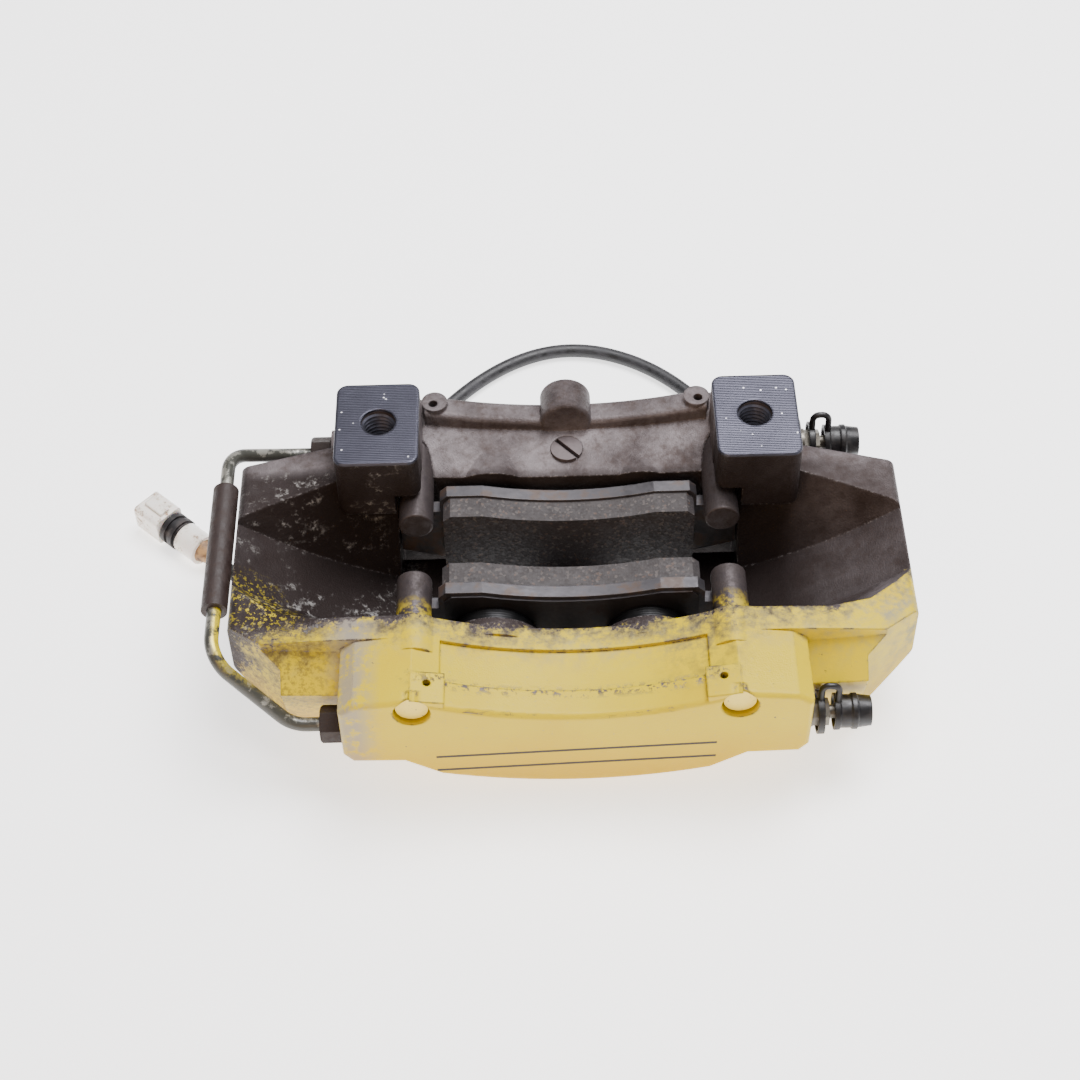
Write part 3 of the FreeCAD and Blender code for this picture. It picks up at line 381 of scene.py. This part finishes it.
# Pads: a stamped steel backing plate with worn black paint, a thin bonded damping shim on its back, and a
# block of dark pressed friction compound with metal and mineral grains 0.5 to 1 mm across.
plate_finish, tree, place = finish_named("worn_black_painted_steel_plate")
geometry = add(tree, "NewGeometry")
rounded = add(tree, "Bevel", {"Radius": 0.0005}, samples=4)
alignment = add(tree, "VectorMath", {0: rounded, 1: geometry.outputs["True Normal"]},
                operation="DOT_PRODUCT").outputs["Value"]
edge = add(tree, "MapRange", {0: alignment, 1: 0.985, 2: 0.90})
clouds = add(tree, "TexNoise", {"Vector": place, "Scale": 120.0, "Detail": 5.0, "Roughness": 0.65}).outputs[0]
patches = add(tree, "TexNoise", {"Vector": place, "Scale": 420.0, "Detail": 5.0, "Roughness": 0.7}).outputs[0]
tone = add(tree, "Mix", {0: clouds, 1: "#323032", 2: "#5e5c5f"}, data_type="RGBA")
rusted = add(tree, "MapRange", {0: clouds, 1: 0.50, 2: 0.60, 3: 0.0, 4: 0.85})
tone = add(tree, "Mix", {0: rusted, 1: tone, 2: "#48382e"}, data_type="RGBA")
rubbed = add(tree, "MapRange", {0: patches, 1: 0.40, 2: 0.58})
rubbed = add(tree, "Math", {0: rubbed, 1: edge}, operation="MULTIPLY")
tone = add(tree, "Mix", {0: rubbed, 1: tone, 2: "#706d6d"}, data_type="RGBA")
sheen = add(tree, "MapRange", {0: patches, 1: 0.3, 2: 0.7, 3: 0.30, 4: 0.62})
metal = add(tree, "MapRange", {0: rusted, 3: 0.6, 4: 0.1})
bump = add(tree, "Bump", {"Strength": 0.25, "Distance": 0.0002, "Height": patches, "Normal": rounded})
shader = add(tree, "BsdfPrincipled", {"Base Color": tone, "Metallic": metal, "Roughness": sheen, "Normal": bump})
add(tree, "OutputMaterial", {"Surface": shader})
dress(plate_finish, "backing_plate_inboard", "backing_plate_outboard")

shim_finish, tree, place = finish_named("coated_steel_shim")
smudge = add(tree, "TexNoise", {"Vector": place, "Scale": 110.0, "Detail": 5.0, "Roughness": 0.6}).outputs[0]
fine_rub = add(tree, "TexNoise", {"Vector": place, "Scale": 800.0, "Detail": 3.0}).outputs[0]
tone = add(tree, "Mix", {0: smudge, 1: "#2b292b", 2: "#4b484a"}, data_type="RGBA")
tone = add(tree, "Mix", {0: add(tree, "MapRange", {0: smudge, 1: 0.55, 2: 0.7}), 1: tone, 2: "#362b25"},
           data_type="RGBA")
sheen = add(tree, "MapRange", {0: fine_rub, 1: 0.3, 2: 0.7, 3: 0.32, 4: 0.55})
bump = add(tree, "Bump", {"Strength": 0.15, "Distance": 0.0001, "Height": fine_rub})
shader = add(tree, "BsdfPrincipled", {"Base Color": tone, "Metallic": 0.6, "Roughness": sheen, "Normal": bump})
add(tree, "OutputMaterial", {"Surface": shader})
dress(shim_finish, "damping_shim_inboard", "damping_shim_outboard")

friction_finish, tree, place = finish_named("pressed_friction_compound")
grains = add(tree, "TexVoronoi", {"Vector": place, "Scale": 1100.0, "Randomness": 1.0})
clouds = add(tree, "TexNoise", {"Vector": place, "Scale": 150.0, "Detail": 4.0}).outputs[0]
tint = add(tree, "SeparateColor", {0: grains.outputs["Color"]}).outputs["Red"]
tone = add(tree, "Mix", {0: clouds, 1: "#1d191a", 2: "#332d2e"}, data_type="RGBA")
# Painted light: the upward faces of the block get a lighter grey, standing in for its lit top edges.
lit_upward_faces = add(tree, "SeparateXYZ", {0: add(tree, "NewGeometry").outputs["Normal"]}).outputs[2]
lit_upward_faces = add(tree, "MapRange", {0: lit_upward_faces, 1: 0.5, 2: 0.8})
painted_top_light_tone = add(tree, "Mix", {0: clouds, 1: "#2a2626", 2: "#4a4646"}, data_type="RGBA")
tone = add(tree, "Mix", {0: lit_upward_faces, 1: tone, 2: painted_top_light_tone}, data_type="RGBA")
bright = add(tree, "MapRange", {0: tint, 1: 0.90, 2: 0.94, 3: 0.0, 4: 0.22})
tone = add(tree, "Mix", {0: bright, 1: tone, 2: "#8c8580"}, data_type="RGBA")
coppery = add(tree, "MapRange", {0: tint, 1: 0.06, 2: 0.03, 3: 0.0, 4: 0.25})
tone = add(tree, "Mix", {0: coppery, 1: tone, 2: "#6e4f38"}, data_type="RGBA")
bump = add(tree, "Bump", {"Strength": 0.5, "Distance": 0.0003, "Height": grains.outputs["Distance"]})
sheen = add(tree, "MapRange", {0: tint, 3: 0.62, 4: 0.9})
shader = add(tree, "BsdfPrincipled", {"Base Color": tone, "Roughness": sheen, "Normal": bump})
add(tree, "OutputMaterial", {"Surface": shader})
dress(friction_finish, "friction_block_inboard", "friction_block_outboard")

# Retaining pin, its wire clip and the leaf spring: plated and blued spring steel, browned by heat and dust.
spring_finish, tree, place = finish_named("heat_browned_spring_steel")
stain = add(tree, "TexNoise", {"Vector": place, "Scale": 180.0, "Detail": 5.0, "Roughness": 0.65}).outputs[0]
fine_rub = add(tree, "TexNoise", {"Vector": place, "Scale": 1200.0, "Detail": 3.0}).outputs[0]
tone = add(tree, "Mix", {0: stain, 1: "#2c2829", 2: "#595350"}, data_type="RGBA")
rusted = add(tree, "MapRange", {0: stain, 1: 0.56, 2: 0.68, 3: 0.0, 4: 0.7})
tone = add(tree, "Mix", {0: rusted, 1: tone, 2: "#423024"}, data_type="RGBA")
sheen = add(tree, "MapRange", {0: stain, 1: 0.3, 2: 0.7, 3: 0.32, 4: 0.62})
bump = add(tree, "Bump", {"Strength": 0.2, "Distance": 0.0002, "Height": fine_rub})
shader = add(tree, "BsdfPrincipled", {"Base Color": tone, "Metallic": 0.7, "Roughness": sheen, "Normal": bump})
add(tree, "OutputMaterial", {"Surface": shader})
dress(spring_finish, "pad_retaining_pin", "retaining_pin_clip", "pad_spring_plate")

# Passage plug: a slotted screw plug in the inboard half, machined flat with it and stained the same brown.
plug_finish, tree, place = finish_named("stained_turned_plug")
stain = add(tree, "TexNoise", {"Vector": place, "Scale": 340.0, "Detail": 5.0, "Roughness": 0.65}).outputs[0]
rounded = add(tree, "Bevel", {"Radius": 0.0004}, samples=4)
tone = add(tree, "Mix", {0: stain, 1: "#48403f", 2: "#756c6d"}, data_type="RGBA")
sheen = add(tree, "MapRange", {0: stain, 1: 0.3, 2: 0.7, 3: 0.38, 4: 0.6})
bump = add(tree, "Bump", {"Strength": 0.25, "Distance": 0.0002, "Height": stain, "Normal": rounded})
shader = add(tree, "BsdfPrincipled", {"Base Color": tone, "Metallic": 0.5, "Roughness": sheen, "Normal": bump})
add(tree, "OutputMaterial", {"Surface": shader})
dress(plug_finish, "passage_plug")

# Crossover pipe: drawn steel pipe, 4.75 mm across, bent round the left end; its dark plastic coat has scraped
# through to grey steel in patches, and the grey is pushed onto its upward faces as a painted highlight along
# the top. Its nuts are plain steel, rusted dark brown.
pipe_finish, tree, place = finish_named("worn_coated_steel_pipe")
scrape = add(tree, "TexNoise", {"Vector": place, "Scale": 190.0, "Detail": 6.0, "Roughness": 0.72}).outputs[0]
fine_rub = add(tree, "TexNoise", {"Vector": place, "Scale": 1400.0, "Detail": 3.0}).outputs[0]
# Painted highlight: upward faces lean towards the lighter grey steel.
painted_top_highlight = add(tree, "SeparateXYZ", {0: add(tree, "NewGeometry").outputs["Normal"]}).outputs[2]
painted_top_highlight = add(tree, "MapRange", {0: painted_top_highlight, 1: 0.2, 2: 0.95, 3: -0.10, 4: 0.08})
scrapes_and_painted_highlight = add(tree, "Math", {0: scrape, 1: painted_top_highlight}, operation="ADD")
scrapes_and_painted_highlight = add(tree, "MapRange", {0: scrapes_and_painted_highlight, 1: 0.54, 2: 0.62})
tone = add(tree, "Mix", {0: scrape, 1: "#2f2f2a", 2: "#4e4e47"}, data_type="RGBA")
tone = add(tree, "Mix", {0: scrapes_and_painted_highlight, 1: tone, 2: "#939188"}, data_type="RGBA")
inner_face = add(tree, "SeparateXYZ", {0: add(tree, "NewGeometry").outputs["Normal"]}).outputs[0]
inner_face = add(tree, "MapRange", {0: inner_face, 1: -0.2, 2: 0.5})
along_y = add(tree, "SeparateXYZ", {0: place}).outputs["Y"]
sprayed_run = add(tree, "MapRange", {0: along_y, 1: -0.060, 2: -0.068})
spray_end = add(tree, "MapRange", {0: along_y, 1: -0.092, 2: -0.085})
mist = add(tree, "MapRange", {0: scrape, 1: 0.42, 2: 0.50})
mist = add(tree, "Math", {0: mist, 1: inner_face}, operation="MULTIPLY")
mist = add(tree, "Math", {0: mist, 1: sprayed_run}, operation="MULTIPLY")
mist = add(tree, "Math", {0: mist, 1: spray_end}, operation="MULTIPLY")
tone = add(tree, "Mix", {0: mist, 1: tone, 2: "#d2bc20"}, data_type="RGBA")
metal = add(tree, "MapRange", {0: scrapes_and_painted_highlight, 3: 0.2, 4: 0.7})
sheen = add(tree, "MapRange", {0: scrape, 1: 0.3, 2: 0.7, 3: 0.26, 4: 0.5})
bump = add(tree, "Bump", {"Strength": 0.2, "Distance": 0.0002, "Height": fine_rub})
shader = add(tree, "BsdfPrincipled", {"Base Color": tone, "Metallic": metal, "Roughness": sheen, "Normal": bump})
add(tree, "OutputMaterial", {"Surface": shader})
dress(pipe_finish, "crossover_pipe")

nut_finish, tree, place = finish_named("rusted_steel_nut")
rust = add(tree, "TexNoise", {"Vector": place, "Scale": 480.0, "Detail": 6.0, "Roughness": 0.72}).outputs[0]
rounded = add(tree, "Bevel", {"Radius": 0.0006}, samples=4)
tone = add(tree, "Mix", {0: rust, 1: "#160f0e", 2: "#342621"}, data_type="RGBA")
sheen = add(tree, "MapRange", {0: rust, 1: 0.3, 2: 0.7, 3: 0.45, 4: 0.8})
bump = add(tree, "Bump", {"Strength": 0.5, "Distance": 0.0003, "Height": rust, "Normal": rounded})
shader = add(tree, "BsdfPrincipled", {"Base Color": tone, "Metallic": 0.3, "Roughness": sheen, "Normal": bump})
add(tree, "OutputMaterial", {"Surface": shader})
dress(nut_finish, "pipe_nut_inboard", "pipe_nut_outboard")

# Pipe sleeve: a wrap of brown-black rubber sheet round the middle run of the pipe, mottled with rust dust.
sleeve_finish, tree, place = finish_named("dusty_brown_rubber_wrap")
mottle = add(tree, "TexNoise", {"Vector": place, "Scale": 230.0, "Detail": 6.0, "Roughness": 0.7}).outputs[0]
pits = add(tree, "TexNoise", {"Vector": place, "Scale": 1300.0, "Detail": 3.0}).outputs[0]
tone = add(tree, "Mix", {0: mottle, 1: "#180f0d", 2: "#33231e"}, data_type="RGBA")
spots = add(tree, "MapRange", {0: mottle, 1: 0.58, 2: 0.66, 3: 0.0, 4: 0.6})
tone = add(tree, "Mix", {0: spots, 1: tone, 2: "#2f2016"}, data_type="RGBA")
sheen = add(tree, "MapRange", {0: mottle, 1: 0.3, 2: 0.7, 3: 0.42, 4: 0.75})
bump = add(tree, "Bump", {"Strength": 0.4, "Distance": 0.0003, "Height": pits})
shader = add(tree, "BsdfPrincipled", {"Base Color": tone, "Roughness": sheen, "Normal": bump})
add(tree, "OutputMaterial", {"Surface": shader})
dress(sleeve_finish, "pipe_sleeve")

# Bleed screws and caps: steel screws, zinc plated, under moulded rubber caps with a strap, matt black
# with a little dust.
zinc_finish, tree, place = finish_named("dull_zinc_plated_steel")
bloom = add(tree, "TexNoise", {"Vector": place, "Scale": 600.0, "Detail": 5.0, "Roughness": 0.65}).outputs[0]
tone = add(tree, "Mix", {0: bloom, 1: "#57534b", 2: "#868177"}, data_type="RGBA")
sheen = add(tree, "MapRange", {0: bloom, 1: 0.3, 2: 0.7, 3: 0.3, 4: 0.6})
bump = add(tree, "Bump", {"Strength": 0.2, "Distance": 0.0002, "Height": bloom})
shader = add(tree, "BsdfPrincipled", {"Base Color": tone, "Metallic": 0.8, "Roughness": sheen, "Normal": bump})
add(tree, "OutputMaterial", {"Surface": shader})
dress(zinc_finish, "bleed_screw_inboard", "bleed_screw_outboard")

cap_finish, tree, place = finish_named("moulded_cap_rubber")
dusty = add(tree, "TexNoise", {"Vector": place, "Scale": 320.0, "Detail": 5.0, "Roughness": 0.65}).outputs[0]
pores = add(tree, "TexNoise", {"Vector": place, "Scale": 2400.0, "Detail": 2.0}).outputs[0]
rounded = add(tree, "Bevel", {"Radius": 0.0007}, samples=4)
tone = add(tree, "Mix", {0: add(tree, "MapRange", {0: dusty, 1: 0.5, 2: 0.75}), 1: "#0e0d0f", 2: "#2c2827"},
           data_type="RGBA")
sheen = add(tree, "MapRange", {0: dusty, 1: 0.35, 2: 0.7, 3: 0.30, 4: 0.62})
bump = add(tree, "Bump", {"Strength": 0.2, "Distance": 0.0001, "Height": pores, "Normal": rounded})
shader = add(tree, "BsdfPrincipled", {"Base Color": tone, "Roughness": sheen, "Normal": bump})
add(tree, "OutputMaterial", {"Surface": shader})
dress(cap_finish, "bleed_cap_inboard", "bleed_cap_outboard")

# Wear sensor and its lead: a plastic head clipped into the inboard plate, and a 5.3 mm rubber-sheathed lead
# that runs under the caliper, round behind it and out to its plug at the left.
head_finish, tree, place = finish_named("moulded_sensor_plastic")
grime = add(tree, "TexNoise", {"Vector": place, "Scale": 380.0, "Detail": 5.0}).outputs[0]
tone = add(tree, "Mix", {0: grime, 1: "#191719", 2: "#413733"}, data_type="RGBA")
sheen = add(tree, "MapRange", {0: grime, 3: 0.35, 4: 0.7})
bump = add(tree, "Bump", {"Strength": 0.2, "Distance": 0.0001, "Height": grime})
shader = add(tree, "BsdfPrincipled", {"Base Color": tone, "Roughness": sheen, "Normal": bump})
add(tree, "OutputMaterial", {"Surface": shader})
dress(head_finish, "wear_sensor_head")

lead_finish, tree, place = finish_named("rubber_lead_sheath")
scuff = add(tree, "TexNoise", {"Vector": place, "Scale": 160.0, "Detail": 6.0, "Roughness": 0.7}).outputs[0]
pores = add(tree, "TexNoise", {"Vector": place, "Scale": 1500.0, "Detail": 3.0}).outputs[0]
dusty = add(tree, "MapRange", {0: scuff, 1: 0.40, 2: 0.68})
tone = add(tree, "Mix", {0: dusty, 1: "#1d1d1e", 2: "#3a393c"}, data_type="RGBA")
sheen = add(tree, "MapRange", {0: dusty, 3: 0.42, 4: 0.7})
bump = add(tree, "Bump", {"Strength": 0.2, "Distance": 0.0002, "Height": pores})
shader = add(tree, "BsdfPrincipled", {"Base Color": tone, "Roughness": sheen, "Normal": bump})
add(tree, "OutputMaterial", {"Surface": shader})

plug_tip = Vector((-0.157, 0.0205, -0.066))
plug_axis = Vector((0.734, -0.679, 0.0))
lead_entry = plug_tip + plug_axis * 0.0367
lead_radius = 0.00265
lead_z = -0.06985
lead_route = [(0.028, -0.0123, -0.0652), (0.035, 0.001, lead_z), (0.050, 0.019, lead_z), (0.064, 0.040, lead_z),
              (0.061, 0.064, lead_z), (0.035, 0.094, lead_z), (0.003, 0.1055, lead_z), (-0.028, 0.093, lead_z),
              (-0.058, 0.058, lead_z), (-0.077, 0.025, lead_z), (-0.0815, -0.0046, lead_z),
              (-0.097, -0.0172, lead_z), (-0.117, -0.0165, lead_z), tuple(lead_entry)]
line = bpy.data.curves.new("sensor_lead", "CURVE")
line.dimensions = "3D"
line.bevel_depth = lead_radius
line.bevel_resolution = 6
line.use_fill_caps = True
line.resolution_u = 24
spline = line.splines.new("NURBS")
spline.points.add(len(lead_route) - 1)
spline.points.foreach_set("co", np.column_stack([lead_route, np.ones(len(lead_route))]).ravel())
spline.order_u = 3
spline.use_endpoint_u = True
lead = bpy.data.objects.new("sensor_lead", line)
bpy.context.scene.collection.objects.link(lead)
line.materials.append(lead_finish)
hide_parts("sensor_cable")
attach(lead, "caliper")

# Plug of the lead: a white moulded polyamide body yellowed and stained with brown grime in its corners,
# two black ribbed seal rings round its neck, and a tan rubber grommet where the lead enters.
plug_body_finish, tree, place = finish_named("stained_white_polyamide")
rounded = add(tree, "Bevel", {"Radius": 0.0008}, samples=4)
stain = add(tree, "TexNoise", {"Vector": place, "Scale": 190.0, "Detail": 6.0, "Roughness": 0.7}).outputs[0]
specks = add(tree, "TexNoise", {"Vector": place, "Scale": 700.0, "Detail": 4.0, "Roughness": 0.7}).outputs[0]
tone = add(tree, "Mix", {0: stain, 1: "#ffffff", 2: "#f6ead6"}, data_type="RGBA")
grimy = add(tree, "MapRange", {0: stain, 1: 0.54, 2: 0.64})
grimy_specks = add(tree, "MapRange", {0: specks, 1: 0.42, 2: 0.60, 3: 0.15, 4: 1.0})
grimy = add(tree, "Math", {0: grimy, 1: grimy_specks}, operation="MULTIPLY")
tone = add(tree, "Mix", {0: grimy, 1: tone, 2: "#8f6c45"}, data_type="RGBA")
dots = add(tree, "MapRange", {0: specks, 1: 0.66, 2: 0.70, 3: 0.0, 4: 0.7})
tone = add(tree, "Mix", {0: dots, 1: tone, 2: "#5c4633"}, data_type="RGBA")
sheen = add(tree, "MapRange", {0: grimy, 3: 0.34, 4: 0.7})
bump = add(tree, "Bump", {"Strength": 0.15, "Distance": 0.0002, "Height": specks, "Normal": rounded})
shader = add(tree, "BsdfPrincipled", {"Base Color": tone, "Roughness": sheen, "Normal": bump,
                                      "Subsurface Weight": 0.05})
add(tree, "OutputMaterial", {"Surface": shader})
dress(plug_body_finish, "connector_body")
dress(rubber_finish, "connector_seal")

grommet_finish, tree, place = finish_named("tan_silicone_grommet")
stain = add(tree, "TexNoise", {"Vector": place, "Scale": 330.0, "Detail": 5.0}).outputs[0]
tone = add(tree, "Mix", {0: add(tree, "MapRange", {0: stain, 1: 0.42, 2: 0.62}), 1: "#b08a5c", 2: "#5a4230"},
           data_type="RGBA")
sheen = add(tree, "MapRange", {0: stain, 3: 0.40, 4: 0.7})
bump = add(tree, "Bump", {"Strength": 0.2, "Distance": 0.0002, "Height": stain})
shader = add(tree, "BsdfPrincipled", {"Base Color": tone, "Roughness": sheen, "Normal": bump})
add(tree, "OutputMaterial", {"Surface": shader})
dress(grommet_finish, "connector_grommet")

# Studio: a plain white table under the caliper, a wide soft lamp overhead, behind and to the right, a weaker
# warm one in front, and a pale surround.
table_finish, tree, place = finish_named("white_table")
shader = add(tree, "BsdfPrincipled", {"Base Color": "#f4f4f4", "Roughness": 0.6, "Emission Color": "#ffffff",
                                      "Emission Strength": 1.7})
add(tree, "OutputMaterial", {"Surface": shader})
across, along = np.meshgrid([-3.0, 3.0], [-3.0, 3.0], indexing="ij")
table = surface("table", np.stack([across, along, np.full_like(across, cad_low[2] - 0.0001)], -1))
dress(table_finish, table)
table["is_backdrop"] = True

for name, where, size, power, colour in (
        ("overhead_lamp", (0.25, 0.30, 1.15), 0.8, 34.0, "#fdfcff"),
        ("front_lamp", (-0.5, -1.3, 0.6), 1.2, 9.0, "#ffcd94")):
    lamp = bpy.data.lights.new(name, "AREA")
    lamp.size = size
    lamp.energy = power
    lamp.color = linear(colour)[:3]
    light = bpy.data.objects.new(name, lamp)
    light.location = where
    light.rotation_euler = (Vector(where) - Vector((0, -0.04, -0.03))).to_track_quat("Z", "Y").to_euler()
    bpy.context.scene.collection.objects.link(light)
surround = bpy.data.worlds.new("pale_surround")
surround.use_nodes = True
surround.node_tree.nodes["Background"].inputs["Color"].default_value = linear("#fbfbff")
surround.node_tree.nodes["Background"].inputs["Strength"].default_value = 0.40
bpy.context.scene.world = surround

# Camera: a 70 mm lens about 0.7 m away, 50 degrees above the table, in front of the outboard half, turned
# by a degree and a half about its own axis.
elevation = math.radians(50.0)
roll = math.radians(1.444)
distance = 0.68897
aim = Vector((-0.01024, -0.05495, 0.0))
backward = Vector((0.0, -math.cos(elevation), math.sin(elevation)))
level_up = Vector((0.0, math.sin(elevation), math.cos(elevation)))
rightward = Vector((1.0, 0.0, 0.0)) * math.cos(roll) - level_up * math.sin(roll)
upward = Vector((1.0, 0.0, 0.0)) * math.sin(roll) + level_up * math.cos(roll)
camera = bpy.data.objects.new("camera", bpy.data.cameras.new("camera"))
camera.data.lens = 70.0
camera.data.sensor_width = 36.0
facing_axes = Matrix((rightward, upward, backward)).transposed().to_4x4()
camera.matrix_world = Matrix.Translation(aim + backward * distance) @ facing_axes
bpy.context.scene.collection.objects.link(camera)
bpy.context.scene.camera = camera
